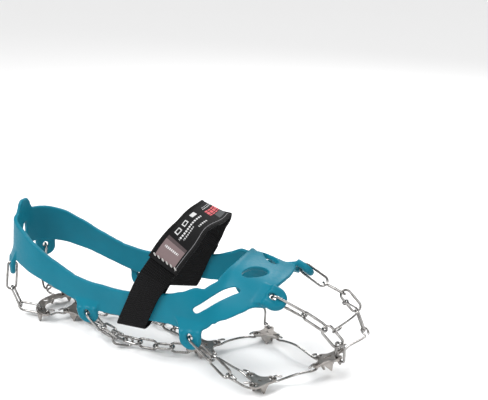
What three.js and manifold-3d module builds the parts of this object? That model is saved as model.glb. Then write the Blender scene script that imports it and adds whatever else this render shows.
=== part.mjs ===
// Ice cleat for one boot: an elastomer harness with eight chain lugs, an instep strap, six toothed
// plates, wire rods and oval chain links, in the shape it takes when it is worn.
// Millimetres. +X toward the toe, +Y toward the far side, +Z up, tooth tips on z = 0.
import * as THREE from 'three';
import { mergeVertices } from 'three/addons/utils/BufferGeometryUtils.js';
import Module from 'manifold-3d';

const wasm = await Module();
wasm.setup();

// ---- driving dimensions ----
const SOLE_Z = 10;             // height of the boot's tread above the ground
const ORIGIN_X = 154.2;        // heel to the middle of the part
const ORIGIN_Y = -0.9;
const GAP = 0.9;               // clearance between wires that hang in each other
const WIRE_R = 1.0;            // chain link wire
const ROD_R = 0.9;             // rod wire
const BAIL_R = 0.75;           // toe bail wire
const LINK_HALF_WIDTH = 4.0;   // middle of the wire, from the link's axis
const PLATE_T = 1.8;
const HOLE_R = 2.1;
const HOLE_PLAY = 0.25;        // a link's wire bears on the outer side of its hole
const RIM_PLAY = 0.25;         // a ring's wire bears on the lower side of its eyelet
const EAR_R = 4.0;
const TOOTH_LENGTH = 9;
const TOOTH_WIDTH = 8;
const BAND_T = 3.5;
const LUG_R = 9;
const LUG_T = 4.0;
const LUG_STANDOFF = 2.6;      // boot to the back of a lug
const EYELET_R = 2.4;
const EYELET_RISE = 1.5;       // eyelet above the middle of the lug's round end
const WEB_T = 2.0;
const WEB_WIDTH = 24;
const PATCH_WIDTH = 26.5;
const TOE_SPRING_FROM = 257;   // the tread rises in front of this
const TOE_SPRING = 0.0095;

const TEAL = '#1d88a2';
const STEEL = '#b9b4ae';
const PLATE = '#8f8781';
const BLACK = '#17181a';

const V = (x, y, z) => new THREE.Vector3(x, y, z);

// ---- the boot that the harness is stretched over ----
function byStation(list) {
  return (x) => {
    const at = Math.min(Math.max(x, list[0][0]), list[list.length - 1][0]);
    let i = 0;
    while (i < list.length - 2 && at > list[i + 1][0]) i += 1;
    const u = (at - list[i][0]) / (list[i + 1][0] - list[i][0]);
    const s = u * u * (3 - 2 * u);
    return list[i][1] * (1 - s) + list[i + 1][1] * s;
  };
}
const BOOT_POWER = 2.6;
const HEEL_ROUND = 62;
const HEEL_AT = 3.5;             // back of the heel
const TOE_ROUND_FROM = 236;
const TOE_ROUND = 70;
const bootHalfWidth = byStation([[0, 36], [50, 37], [105, 39], [160, 45], [205, 51], [245, 52],
  [305, 50]]);
const bootHeight = byStation([[0, 300], [90, 210], [150, 142], [180, 107], [215, 75], [245, 69],
  [270, 64], [305, 54]]);

function bootField(p) {
  const above = Math.max(0, p.z - 50);
  const half = bootHalfWidth(p.x) * (1 - 0.0025 * above * (p.x < 100 ? 1 : 0));
  const heel = HEEL_ROUND - HEEL_AT - 0.06 * above;
  let f = (Math.abs(p.y) / half) ** BOOT_POWER;
  if (p.x < HEEL_ROUND) f += ((HEEL_ROUND - p.x) / heel) ** 2.3;
  if (p.x > TOE_ROUND_FROM) f += ((p.x - TOE_ROUND_FROM) / TOE_ROUND) ** BOOT_POWER;
  f += (Math.max(0, p.z) / bootHeight(p.x)) ** BOOT_POWER;
  return f - 1;
}

function bootGradient(p) {
  const h = 0.05;
  const step = (dx, dy, dz) => bootField(V(p.x + dx, p.y + dy, p.z + dz))
    - bootField(V(p.x - dx, p.y - dy, p.z - dz));
  return V(step(h, 0, 0), step(0, h, 0), step(0, 0, h)).divideScalar(2 * h);
}

const bootNormal = (p) => bootGradient(p).normalize();

function onBoot(p, offset = 0) {
  const q = p.clone();
  for (let i = 0; i < 12; i += 1) {
    const g = bootGradient(q);
    q.addScaledVector(g, -bootField(q) / Math.max(g.lengthSq(), 1e-8));
  }
  return q.addScaledVector(bootNormal(q), offset);
}

const soleRise = (x) => TOE_SPRING * Math.max(0, x - TOE_SPRING_FROM) ** 2;
const soleSlope = (x) => 2 * TOE_SPRING * Math.max(0, x - TOE_SPRING_FROM);

// ---- solids ----
function toManifold(geometry) {
  const g = geometry.clone();
  g.deleteAttribute('normal');
  g.deleteAttribute('uv');
  const merged = mergeVertices(g, 1e-4);
  return new wasm.Manifold(new wasm.Mesh({
    numProp: 3,
    vertProperties: new Float32Array(merged.attributes.position.array),
    triVerts: new Uint32Array(merged.index.array),
  }));
}

function toGeometry(solid) {
  const m = solid.getMesh();
  const g = new THREE.BufferGeometry();
  g.setAttribute('position', new THREE.BufferAttribute(new Float32Array(m.vertProperties), 3));
  g.setIndex(new THREE.BufferAttribute(new Uint32Array(m.triVerts), 1));
  return g;
}

// A closed solid from sections, each a ring of points in the same order.
function loft(rings) {
  const n = rings[0].length;
  const vertices = rings.flat().flatMap((p) => [p.x, p.y, p.z]);
  const index = [];
  for (let i = 0; i < rings.length - 1; i += 1) {
    for (let j = 0; j < n; j += 1) {
      const a = i * n + j;
      const b = i * n + ((j + 1) % n);
      index.push(a, a + n, b, b, a + n, b + n);
    }
  }
  const last = (rings.length - 1) * n;
  for (let j = 1; j < n - 1; j += 1) {
    index.push(0, j, j + 1, last, last + j + 1, last + j);
  }
  // Rings may wind either way round: the faces are turned outward by the sign of the volume.
  const point = (i) => V(vertices[3 * i], vertices[3 * i + 1], vertices[3 * i + 2]);
  let volume = 0;
  for (let i = 0; i < index.length; i += 3) {
    volume += point(index[i]).dot(point(index[i + 1]).cross(point(index[i + 2])));
  }
  const g = new THREE.BufferGeometry();
  g.setAttribute('position', new THREE.BufferAttribute(new Float32Array(vertices), 3));
  g.setIndex(volume < 0 ? index.reverse() : index);
  return g;
}

// A band lying on the boot: stations are [x, y, z, width], moved onto its surface.
function bandStrip(stations, along, across, thickness = BAND_T) {
  const line = new THREE.CatmullRomCurve3(stations.map((s) => V(s[0], s[1], s[2])));
  const widths = byStation(stations.map((s, i) => [i / (stations.length - 1), s[3]]));
  const middle = (t) => onBoot(line.getPoint(Math.min(Math.max(t, 0), 1)));
  const rings = [];
  for (let i = 0; i <= along; i += 1) {
    const t = i / along;
    const c = middle(t);
    const tangent = middle(t + 0.01).sub(middle(t - 0.01)).normalize();
    const side = bootNormal(c).cross(tangent).normalize();
    const row = [];
    for (let j = 0; j <= across; j += 1) {
      row.push(onBoot(c.clone().addScaledVector(side, widths(t) * (j / across - 0.5))));
    }
    const outer = row.map((p) => p.clone().addScaledVector(bootNormal(p), thickness));
    rings.push([...outer.reverse(), ...row]);
  }
  return toManifold(loft(rings));
}

function placed(geometry, origin, xAxis, yAxis, zAxis) {
  const m = new THREE.Matrix4().makeBasis(xAxis, yAxis, zAxis).setPosition(origin);
  return geometry.applyMatrix4(m);
}

// A prism through the harness whose outline passes through the given points near the boot.
function windowCutter(points) {
  const centre = points.reduce((s, p) => s.add(p), V(0, 0, 0)).divideScalar(points.length);
  const out = bootNormal(onBoot(centre));
  const u = points[0].clone().sub(centre).projectOnPlane(out).normalize();
  const v = out.clone().cross(u);
  const flat = points.map((p) => V(p.clone().sub(centre).dot(u), p.clone().sub(centre).dot(v), 0));
  const outline = new THREE.CatmullRomCurve3(flat, true).getPoints(18);
  outline.pop();
  const shape = new THREE.Shape(outline.map((p) => new THREE.Vector2(p.x, p.y)));
  const prism = new THREE.ExtrudeGeometry(shape, { depth: 34, bevelEnabled: false });
  prism.translate(0, 0, -17);
  return toManifold(placed(prism, centre, u, v, out));
}

// ---- lugs: the eyelet on the boot, where the lug hangs to and where its ring pulls to ----
const mirror = (p) => V(p.x, -p.y, p.z);
const NEAR_LUGS = {
  toe: { eye: V(249, -31, 62), hang: V(0.9, 0.1, -0.45), pull: V(0.9, 0.18, -0.42), reach: 13 },
  ball: { eye: V(194, -53, 29), hang: V(0.12, 0, -1), pull: V(0.78, 0, -0.6), reach: 12 },
  arch: { eye: V(96, -42, 23.5), hang: V(0.1, 0, -1), pull: V(0.55, 0.25, -0.8), reach: 12 },
  heel: { eye: V(8, -24, 43.5), hang: V(0, 0, -1), pull: V(-0.05, 0, -1), reach: 12 },
};
function lugFrame(name, side) {
  const spec = NEAR_LUGS[name];
  const near = onBoot(spec.eye);
  const at = side === 'near' ? near : mirror(near);
  const facing = bootNormal(at);
  const pull = (side === 'near' ? spec.pull.clone() : mirror(spec.pull)).normalize();
  const out = facing.clone().projectOnPlane(pull).normalize();
  const hang = (side === 'near' ? spec.hang.clone() : mirror(spec.hang)).projectOnPlane(out);
  return { eye: at.clone().addScaledVector(facing, LUG_STANDOFF + LUG_T / 2), out,
    hang: hang.normalize(), pull, reach: spec.reach };
}
function lugShape(frame) {
  const shape = new THREE.Shape();
  shape.moveTo(-LUG_R - 1, frame.reach);
  shape.quadraticCurveTo(-LUG_R, 5, -LUG_R, 0);
  shape.absarc(0, 0, LUG_R, Math.PI, 2 * Math.PI, false);
  shape.quadraticCurveTo(LUG_R, 5, LUG_R + 1, frame.reach);
  const tab = new THREE.ExtrudeGeometry(shape, { depth: LUG_T, bevelEnabled: false,
    curveSegments: 5 });
  tab.translate(0, -EYELET_RISE, -LUG_T / 2);
  const up = frame.hang.clone().negate();
  return toManifold(placed(tab, frame.eye, up.clone().cross(frame.out), up, frame.out));
}
function eyeletCutter(frame) {
  const pin = new THREE.CylinderGeometry(EYELET_R, EYELET_R, 16, 10).rotateX(Math.PI / 2);
  const up = frame.hang.clone().negate();
  return toManifold(placed(pin, frame.eye, up.clone().cross(frame.out), up, frame.out));
}

// ---- harness ----
const HEEL_WRAP = [[78, -39, 43, 20], [56, -37, 50, 23], [36, -35, 57.5, 27], [20, -31, 63.5, 31],
  [9, -20, 66, 33], [3, 0, 67, 33], [9, 20, 66, 33], [20, 31, 63.5, 31], [36, 35, 57.5, 27],
  [56, 37, 50, 23], [78, 39, 43, 20]];
const SIDE_BAND = [[58, 38, 49, 22], [75, 39, 43, 20.5], [92, 40, 39, 22], [110, 41, 37, 23.5],
  [128, 43, 38, 22], [150, 46, 41, 21.5], [170, 48, 44, 24], [184, 49, 46.5, 28],
  [198, 50, 51, 32], [210, 48, 56, 24]];
const TOE_WEB = [[203, -50, 48, 22], [212, -46, 59, 29], [221, -38, 67, 35], [227, -26, 71, 38],
  [230.5, -13, 73, 40], [231.5, 0, 74, 41], [230.5, 13, 73, 40], [227, 26, 71, 38],
  [221, 38, 67, 35], [212, 46, 59, 29], [203, 50, 48, 22]];
const TOE_ARM = [[230, 38, 65, 20], [239, 35, 66, 17], [247, 32.5, 63.5, 15]];
const HEEL_TAB = [[4, 0, 74, 28], [6, 0, 84, 19], [8, 0, 93, 13]];
const SLOT = [[194, 50.7, 50.6], [200.5, 48.3, 56.2], [207.5, 44.6, 62], [214.5, 40, 67],
  [222, 36, 68.7], [226, 36.5, 66.5], [220.5, 40.5, 63.6], [211.5, 45.2, 58.2], [202.6, 49.4, 51.4],
  [197, 51, 48.2]];
const OVAL = { x: 230, y: 17, long: 12.5, short: 6, turn: THREE.MathUtils.degToRad(-58) };
const HEEL_SLOT = { z: 64, high: 9, wide: 3.2 };

function ovalPoints(sign) {
  const points = [];
  for (let i = 0; i < 10; i += 1) {
    const a = (i / 10) * 2 * Math.PI;
    const u = OVAL.long * Math.cos(a);
    const v = OVAL.short * Math.sin(a);
    const x = OVAL.x + u * Math.cos(OVAL.turn) - v * Math.sin(OVAL.turn);
    const y = OVAL.y + u * Math.sin(OVAL.turn) + v * Math.cos(OVAL.turn);
    points.push(onBoot(V(x, sign * y, 78)));
  }
  return points;
}
function heelSlotPoints() {
  const points = [];
  for (let i = 0; i < 10; i += 1) {
    const a = (i / 10) * 2 * Math.PI;
    points.push(V(0, HEEL_SLOT.wide * Math.cos(a), HEEL_SLOT.z + HEEL_SLOT.high * Math.sin(a)));
  }
  return points;
}

function buildHarness() {
  let body = bandStrip(HEEL_WRAP, 22, 3).add(bandStrip(TOE_WEB, 22, 5));
  body = body.add(bandStrip(HEEL_TAB, 4, 3));
  for (const side of ['near', 'far']) {
    const sign = side === 'near' ? -1 : 1;
    body = body.add(bandStrip(SIDE_BAND.map((s) => [s[0], sign * s[1], s[2], s[3]]), 18, 3));
    body = body.add(bandStrip(TOE_ARM.map((s) => [s[0], sign * s[1], s[2], s[3]]), 6, 3));
    body = body.subtract(windowCutter(SLOT.map((s) => V(s[0], sign * s[1], s[2]))));
    body = body.subtract(windowCutter(ovalPoints(sign)));
    for (const name of Object.keys(NEAR_LUGS)) {
      const frame = lugFrame(name, side);
      body = body.add(lugShape(frame)).subtract(eyeletCutter(frame));
    }
  }
  return toGeometry(body.subtract(windowCutter(heelSlotPoints())));
}

// ---- plates: centre on the tread, holes as [forward, far] from the centre ----
const square = (radius, turn) => [0, 1, 2, 3].map((i) => {
  const a = THREE.MathUtils.degToRad(turn + 90 * i);
  return [radius * Math.cos(a), radius * Math.sin(a)];
});
const PLATES = {
  plate_toe: { at: [285, 2], holes: square(11.2, -32), bore: 3, waist: 6.6 },
  plate_ball_near: { at: [247, -43], holes: [[-1, -7.6], [6.6, 7], [-8.8, 4.6]], bore: 1.3,
    waist: 4.6 },
  plate_ball_far: { at: [224, 33], holes: [[7.8, -2], [-1.6, 8], [-6.4, -5.2]], bore: 1.3,
    waist: 4.2 },
  plate_mid: { at: [186, -12], holes: square(11.4, -38), bore: 3, waist: 6.6 },
  plate_heel: { at: [58.5, -1], holes: square(10.4, -47), bore: 3, waist: 8.6 },
};

function plateFrame(name) {
  const [x, y] = PLATES[name].at;
  const slope = Math.atan(soleSlope(x));
  const forward = V(Math.cos(slope), 0, Math.sin(slope));
  const up = V(-Math.sin(slope), 0, Math.cos(slope));
  const origin = V(x, y, soleRise(x)).addScaledVector(up, -PLATE_T / 2);
  return { origin, forward, far: V(0, 1, 0), up };
}
function plateHole(name, i) {
  const f = plateFrame(name);
  const [a, b] = PLATES[name].holes[i];
  return f.origin.clone().addScaledVector(f.forward, a).addScaledVector(f.far, b);
}
function circlePath(x, y, r) {
  const path = new THREE.Path();
  path.absarc(x, y, r, 0, 2 * Math.PI, true);
  return path;
}
// A vertical triangle on an outline's edge, its inner face at the given distance from the centre.
function tooth(angle, distance, middle = [0, 0]) {
  const half = TOOTH_WIDTH / 2;
  const shape = new THREE.Shape();
  shape.moveTo(-half, PLATE_T / 2);
  shape.lineTo(-half, -PLATE_T / 2);
  shape.lineTo(-0.5, PLATE_T / 2 - TOOTH_LENGTH);
  shape.lineTo(0.5, PLATE_T / 2 - TOOTH_LENGTH);
  shape.lineTo(half, -PLATE_T / 2);
  shape.lineTo(half, PLATE_T / 2);
  const g = new THREE.ExtrudeGeometry(shape, { depth: PLATE_T, bevelEnabled: false });
  g.translate(0, 0, distance);
  const out = V(Math.cos(angle), Math.sin(angle), 0);
  const across = V(0, 0, 1).cross(out);
  return toManifold(placed(g, V(middle[0], middle[1], 0), across, V(0, 0, 1), out));
}
function earedPlate(name) {
  const spec = PLATES[name];
  const angles = spec.holes.map((h) => Math.atan2(h[1], h[0]));
  const order = angles.map((a, i) => [a, i]).sort((p, q) => p[0] - q[0]);
  const shape = new THREE.Shape();
  const sides = [];
  order.forEach(([angle, i], k) => {
    const [x, y] = spec.holes[i];
    shape.absarc(x, y, EAR_R, angle - 1.35, angle + 1.35, false);
    let next = order[(k + 1) % order.length][0];
    if (next < angle) next += 2 * Math.PI;
    const mid = (angle + next) / 2;
    sides.push(mid);
    const [nx, ny] = spec.holes[order[(k + 1) % order.length][1]];
    const arm = (Math.hypot(x, y) + Math.hypot(nx, ny)) / 2;
    const reach = 2 * spec.waist - arm * Math.cos((next - angle) / 2);
    const pull = Math.max(reach, 2.5);
    const end = next - 1.35;
    shape.quadraticCurveTo(pull * Math.cos(mid), pull * Math.sin(mid),
      nx + EAR_R * Math.cos(end), ny + EAR_R * Math.sin(end));
  });
  spec.holes.forEach(([x, y]) => shape.holes.push(circlePath(x, y, HOLE_R)));
  shape.holes.push(circlePath(0, 0, spec.bore));
  const flat = new THREE.ExtrudeGeometry(shape, { depth: PLATE_T, bevelEnabled: false,
    curveSegments: 4 });
  flat.translate(0, 0, -PLATE_T / 2);
  let body = toManifold(flat);
  sides.forEach((a) => { body = body.add(tooth(a, spec.waist - 0.9)); });
  const f = plateFrame(name);
  return placed(toGeometry(body), f.origin, f.forward, f.far, f.up);
}

// Heel crescent: a band along an arc open toward the toe, with a boss at the middle.
const CRESCENT = { middle: [44.6, 0], radius: 23.1, half: 3.7, open: 71, boss: 2.6, bore: 2.6,
  inner: 48 };
function crescentPoint(degrees, extra = 0) {
  const a = THREE.MathUtils.degToRad(180 + degrees);
  const r = CRESCENT.radius + extra;
  return [CRESCENT.middle[0] + r * Math.cos(a), CRESCENT.middle[1] + r * Math.sin(a)];
}
function crescentHole(degrees) {
  const [x, y] = crescentPoint(degrees);
  return V(x, y, -PLATE_T / 2);
}
function crescentPlate() {
  const outline = [];
  for (let d = -CRESCENT.open; d <= CRESCENT.open + 0.1; d += CRESCENT.open / 8) {
    outline.push(crescentPoint(d, CRESCENT.half));
  }
  const cap = (degrees, sign) => {
    for (const t of [45, 90, 135]) {
      const a = THREE.MathUtils.degToRad(t);
      const [x, y] = crescentPoint(degrees, CRESCENT.half * Math.cos(a));
      const along = THREE.MathUtils.degToRad(180 + degrees + 90 * sign);
      const reach = 4.2 * Math.sin(a);
      outline.push([x + reach * Math.cos(along), y + reach * Math.sin(along)]);
    }
  };
  cap(CRESCENT.open, 1);
  for (let d = CRESCENT.open; d >= -CRESCENT.open - 0.1; d -= CRESCENT.open / 12) {
    outline.push(crescentPoint(d, -CRESCENT.half - CRESCENT.boss * Math.exp(-((d / 10) ** 2))));
  }
  const start = outline.length;
  cap(-CRESCENT.open, -1);
  const tail = outline.splice(start).reverse();
  outline.push(...tail);
  const shape = new THREE.Shape(outline.map(([x, y]) => new THREE.Vector2(x, y)));
  for (const d of [-CRESCENT.open, -CRESCENT.inner, CRESCENT.inner, CRESCENT.open]) {
    shape.holes.push(circlePath(...crescentPoint(d), HOLE_R));
  }
  shape.holes.push(circlePath(...crescentPoint(0), CRESCENT.bore));
  const flat = new THREE.ExtrudeGeometry(shape, { depth: PLATE_T, bevelEnabled: false,
    curveSegments: 4 });
  flat.translate(0, 0, -PLATE_T / 2);
  let body = toManifold(flat);
  for (const d of [-60, -24, 24, 60]) {
    const a = THREE.MathUtils.degToRad(180 + d);
    body = body.add(tooth(a, CRESCENT.radius + CRESCENT.half - 1, CRESCENT.middle));
  }
  return toGeometry(body).translate(0, 0, -PLATE_T / 2);
}

// ---- wires ----
class Stadium extends THREE.Curve {
  constructor(half, radius) {
    super();
    this.straight = half - radius;
    this.radius = radius;
  }

  getPoint(t, target = new THREE.Vector3()) {
    const arc = Math.PI * this.radius;
    const total = 4 * this.straight + 2 * arc;
    let s = ((t % 1) + 1) % 1 * total;
    const flip = s >= total / 2 ? -1 : 1;
    if (flip < 0) s -= total / 2;
    let x;
    let y;
    if (s < arc / 2) {
      x = this.straight + this.radius * Math.cos(s / this.radius);
      y = this.radius * Math.sin(s / this.radius);
    } else if (s < arc / 2 + 2 * this.straight) {
      x = this.straight - (s - arc / 2);
      y = this.radius;
    } else {
      const a = Math.PI / 2 + (s - arc / 2 - 2 * this.straight) / this.radius;
      x = -this.straight + this.radius * Math.cos(a);
      y = this.radius * Math.sin(a);
    }
    return target.set(flip * x, flip * y, 0);
  }
}

// A link whose end wires pass through points a and b, its width along `wide`.
function link(a, b, wide) {
  const axis = b.clone().sub(a);
  const half = axis.length() / 2;
  axis.normalize();
  const w = wide.clone().projectOnPlane(axis).normalize();
  const ring = new THREE.TubeGeometry(new Stadium(half, LINK_HALF_WIDTH), 14, WIRE_R, 6, true);
  const middle = a.clone().add(b).multiplyScalar(0.5);
  return placed(ring, middle, axis, w, axis.clone().cross(w));
}

const linkAxes = (joints) => joints.slice(1).map((p, i) => p.clone().sub(joints[i]).normalize());

// The points where the wires of a row of links turn. The two wires that meet at a joint cross a
// gap apart, and where the row bends the round end of one link stays centred on the other's wire.
function linkEnds(joints, wides) {
  const axes = linkAxes(joints);
  const last = axes.length - 1;
  const inner = LINK_HALF_WIDTH - 2 * WIRE_R - GAP;
  const at = joints.map((_, i) => {
    const before = axes[Math.max(0, i - 1)];
    const after = axes[Math.min(last, i)];
    const bend = after.clone().sub(before);
    const inAfter = bend.dot(wides[Math.min(last, i)]) ** 2 / Math.max(bend.lengthSq(), 1e-9);
    const a = after.clone().multiplyScalar(LINK_HALF_WIDTH).addScaledVector(before, -inner);
    const b = before.clone().multiplyScalar(LINK_HALF_WIDTH).addScaledVector(after, -inner);
    return a.multiplyScalar(inAfter).addScaledVector(b, 1 - inAfter).divideScalar(2);
  });
  return axes.map((_, i) => ({
    a: joints[i].clone().sub(at[i]),
    b: joints[i + 1].clone().add(at[i + 1]),
  }));
}

const parts = [];
function part(name, geometry, color, roughness, metalness) {
  parts.push({ name, geometry, color, roughness, metalness });
}
const steel = (name, geometry) => part(name, geometry, STEEL, 0.28, 1);

const RING_SHARE = 1.3;        // a lug's ring is longer than a link by this

// A run of links along a curve. `first` and `last` are the width directions of the end links, and
// the links between turn by about a quarter each.
function chain(names, route, first, last) {
  const count = names.length;
  const curve = new THREE.CatmullRomCurve3(route, false, 'centripetal');
  const total = count - 1 + RING_SHARE;
  const joints = [curve.getPointAt(0)];
  for (let i = 0; i < count; i += 1) joints.push(curve.getPointAt((i + RING_SHARE) / total));
  const axes = linkAxes(joints);
  const carried = [first.clone().projectOnPlane(axes[0]).normalize()];
  for (let i = 1; i < count; i += 1) {
    const turn = new THREE.Quaternion().setFromUnitVectors(axes[i - 1], axes[i]);
    carried.push(carried[i - 1].clone().applyQuaternion(turn));
  }
  let step = 0;
  if (last && count > 1) {
    const end = last.clone().projectOnPlane(axes[count - 1]).normalize();
    const from = carried[count - 1];
    const angle = Math.atan2(from.clone().cross(end).dot(axes[count - 1]), from.dot(end));
    const ideal = (count - 1) * Math.PI / 2;
    const turns = Math.round((ideal - angle) / Math.PI);
    step = (angle + turns * Math.PI) / (count - 1);
  }
  const wides = carried.map((wide, i) => wide.applyAxisAngle(axes[i], step * i));
  const ends = linkEnds(joints, wides);
  names.forEach((name, i) => steel(name, link(ends[i].a, ends[i].b, wides[i])));
  return { joints, ends, axes, wides };
}

// A wire whose ends are folded back into hooks. Each end is {at, thick}: the middle of the hook's
// bend and the direction across the hook. `bow` moves the rod's middle sideways.
function hookedWire(from, to, bow = V(0, 0, 0), radius = ROD_R) {
  const span = to.at.clone().sub(from.at);
  const middle = from.at.clone().add(to.at).multiplyScalar(0.5).add(bow);
  const hook = [[8.2, 1.55], [5.2, 2.25], [2.4, 2.45], [0.7, 1.6], [0, 0], [0.7, -1.6], [2.4, -2.45],
    [5.2, -2.1], [8.6, -0.9]];
  const endPoints = (end) => {
    const v = end.thick.clone().normalize();
    const u = middle.clone().sub(end.at).projectOnPlane(v).normalize();
    return hook.map(([a, b]) => end.at.clone().addScaledVector(u, a).addScaledVector(v, b));
  };
  const inner = span.length() > 34 ? [middle] : [];
  const route = [...endPoints(from), ...inner, ...endPoints(to).reverse()];
  const curve = new THREE.CatmullRomCurve3(route, false, 'centripetal');
  return wireAlong(curve, route.length + 4, radius);
}
// A capped round wire.
function wireAlong(curve, steps, radius) {
  const frames = curve.computeFrenetFrames(steps, false);
  const rings = [];
  for (let i = 0; i <= steps; i += 1) {
    const c = curve.getPointAt(i / steps);
    const row = [];
    for (let k = 0; k < 6; k += 1) {
      const a = (k / 6) * 2 * Math.PI;
      row.push(c.clone().addScaledVector(frames.normals[i], radius * Math.cos(a))
        .addScaledVector(frames.binormals[i], -radius * Math.sin(a)));
    }
    rings.push(row);
  }
  return loft(rings);
}

// ---- build ----
part('harness', buildHarness(), TEAL, 0.55, 0);
for (const name of Object.keys(PLATES)) part(name, earedPlate(name), PLATE, 0.4, 1);
part('plate_heel_rear', crescentPlate(), PLATE, 0.3, 1);

const UP = V(0, 0, 1);
// Where a link's joint sits when its wire passes through a plate hole or a lug's eyelet.
const into = (point, toward) => {
  const way = toward.clone().sub(point).normalize();
  return point.clone().addScaledVector(way, HOLE_PLAY + WIRE_R + GAP / 2);
};
// The same where a link pulls across the plate: it encloses the rim between hole and edge.
const overRim = (name, i, toward) => {
  const point = plateHole(name, i);
  const outward = point.clone().sub(plateFrame(name).origin).normalize();
  const rim = point.clone().addScaledVector(outward, (EAR_R + HOLE_R) / 2);
  return { at: rim.addScaledVector(toward.clone().sub(rim).normalize(), -(EAR_R - HOLE_R) / 2 - RIM_PLAY),
    outward };
};
const hole = (name, i) => ({ at: plateHole(name, i), thick: plateFrame(name).up });

// A lug's ring leaves along its pull direction, in the plane of the lug.
const lugStart = (frame, length) => [frame.eye.clone().addScaledVector(frame.pull, WIRE_R),
  frame.eye.clone().addScaledVector(frame.pull, length)];

// Long chains between the middle and heel plates. Link 4 lies flat for the side chain that hangs
// in it, and the links behind it turn a little less than a quarter each.
const LONG_ROUTES = {
  near: [V(157, -25, -2.6), V(143, -27, -3), V(130, -27.5, -3), V(117, -26, -3),
    V(102, -21, -2.8), V(88, -15.5, -2.4)],
  far: [V(155, 4, -2.6), V(141, 10, -3), V(127, 15.5, -3), V(113, 13.5, -3),
    V(99, 10.5, -2.8), V(85, 7, -2.4)],
};
const LONG_HOLES = { near: [3, 0], far: [2, 1] };
const LONG_TURNS = [0, 90, 180, 270, 337.5, 405, 472.5, 540];
const JUNCTION = 3;
const junction = {};
for (const side of ['near', 'far']) {
  const [a, b] = LONG_HOLES[side];
  const route = LONG_ROUTES[side];
  const start = plateHole('plate_mid', a);
  const end = plateHole('plate_heel', b);
  const curve = new THREE.CatmullRomCurve3(
    [into(start, route[0]), ...route, into(end, route[route.length - 1])], false, 'centripetal');
  const joints = curve.getSpacedPoints(LONG_TURNS.length);
  const wides = linkAxes(joints).map((axis, i) => UP.clone().projectOnPlane(axis).normalize()
    .applyAxisAngle(axis, THREE.MathUtils.degToRad(LONG_TURNS[i])));
  const ends = linkEnds(joints, wides);
  ends.forEach((e, i) => steel(`chain_long_${side}_${i + 1}`, link(e.a, e.b, wides[i])));
  const flat = wides[JUNCTION];
  const outward = flat.clone().multiplyScalar(Math.sign(flat.y) * (side === 'near' ? -1 : 1));
  junction[side] = ends[JUNCTION].a.clone().add(ends[JUNCTION].b).multiplyScalar(0.5)
    .addScaledVector(outward, LINK_HALF_WIDTH - WIRE_R - GAP / 2);
}

// Side chains from the arch lugs to the long chains.
const ARCH_ROUTES = {
  near: [V(117, -35, -1)],
  far: [V(113, 36, 0.5), V(121, 27.5, -3)],
};
const ARCH_LINKS = { near: 2, far: 3 };
const ARCH_LAST = { near: V(-0.5, 0, 1), far: UP };
for (const side of ['near', 'far']) {
  const frame = lugFrame('arch', side);
  const names = [`ring_arch_${side}`];
  for (let i = 1; i <= ARCH_LINKS[side]; i += 1) names.push(`chain_arch_${side}_${i}`);
  const route = [...lugStart(frame, 20), ...ARCH_ROUTES[side], junction[side]];
  chain(names, route, frame.out, ARCH_LAST[side]);
}

// Heel chains from the heel lugs to the crescent's inner holes.
for (const side of ['near', 'far']) {
  const sign = side === 'near' ? -1 : 1;
  const frame = lugFrame('heel', side);
  const end = crescentHole(-sign * CRESCENT.inner);
  const route = [V(2.5, sign * 23.3, 15), V(9.5, sign * 20.8, -0.5)];
  const names = [`ring_heel_${side}`, `chain_heel_${side}_1`, `chain_heel_${side}_2`];
  chain(names, [...lugStart(frame, 19), ...route, into(end, route[1])], frame.out, UP);
}

// Ball lugs: links, then a hooked rod to the plate.
function rodFromChain(name, run, end) {
  const i = run.axes.length - 1;
  const at = run.joints[i + 1].clone().addScaledVector(run.axes[i], -WIRE_R - GAP / 2);
  const thick = run.axes[i].clone().cross(run.wides[i]);
  steel(name, hookedWire({ at, thick }, end));
}
{
  const frame = lugFrame('ball', 'near');
  const route = [...lugStart(frame, 20), V(227, -57, 6.5)];
  const flat = V(0, 1, 0);
  const run = chain(['ring_ball_near', 'chain_ball_near_1'], route, frame.out, flat.cross(frame.pull));
  rodFromChain('rod_ball_near', run, hole('plate_ball_near', 0));
}
{
  const frame = lugFrame('ball', 'far');
  const run = chain(['ring_ball_far'], lugStart(frame, 21), frame.out, null);
  rodFromChain('rod_ball_far', run, hole('plate_ball_far', 1));
}

// Rods between the plates.
steel('rod_toe_ball_near', hookedWire(hole('plate_toe', 3), hole('plate_ball_near', 1),
  V(2.5, -2.5, 0)));
steel('rod_toe_ball_far', hookedWire(hole('plate_toe', 2), hole('plate_ball_far', 0), V(-1, 1, 0)));
steel('rod_mid_ball_near', hookedWire(hole('plate_mid', 0), hole('plate_ball_near', 2),
  V(1.5, -2.5, 0)));
steel('rod_mid_ball_far', hookedWire(hole('plate_mid', 1), hole('plate_ball_far', 2)));
for (const side of ['near', 'far']) {
  const sign = side === 'near' ? -1 : 1;
  const crescentEnd = { at: crescentHole(-sign * CRESCENT.open), thick: UP };
  steel(`rod_heel_${side}`, hookedWire(hole('plate_heel', side === 'near' ? 3 : 2), crescentEnd));
}

// Toe chains: the near one ends in the toe plate, the far one in a rod to it.
const toe = {};
{
  const frame = lugFrame('toe', 'near');
  const route = [V(283, -22.5, 46.5), V(297, -14.5, 30.5)];
  const end = overRim('plate_toe', 0, route[1]);
  toe.near = chain(['ring_toe_near', 'chain_toe_near_1', 'chain_toe_near_2', 'chain_toe_near_3'],
    [...lugStart(frame, 20), ...route, end.at], frame.out, end.outward);
}
{
  const frame = lugFrame('toe', 'far');
  const route = [V(284, 35.3, 48.2), V(296, 36, 36), V(303, 34, 21)];
  toe.far = chain(['ring_toe_far', 'chain_toe_far_1', 'chain_toe_far_2', 'chain_toe_far_3'],
    [...lugStart(frame, 20), ...route], frame.out, V(-0.6, 1, 0));
  rodFromChain('rod_toe_far', toe.far, hole('plate_toe', 1));
}

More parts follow.
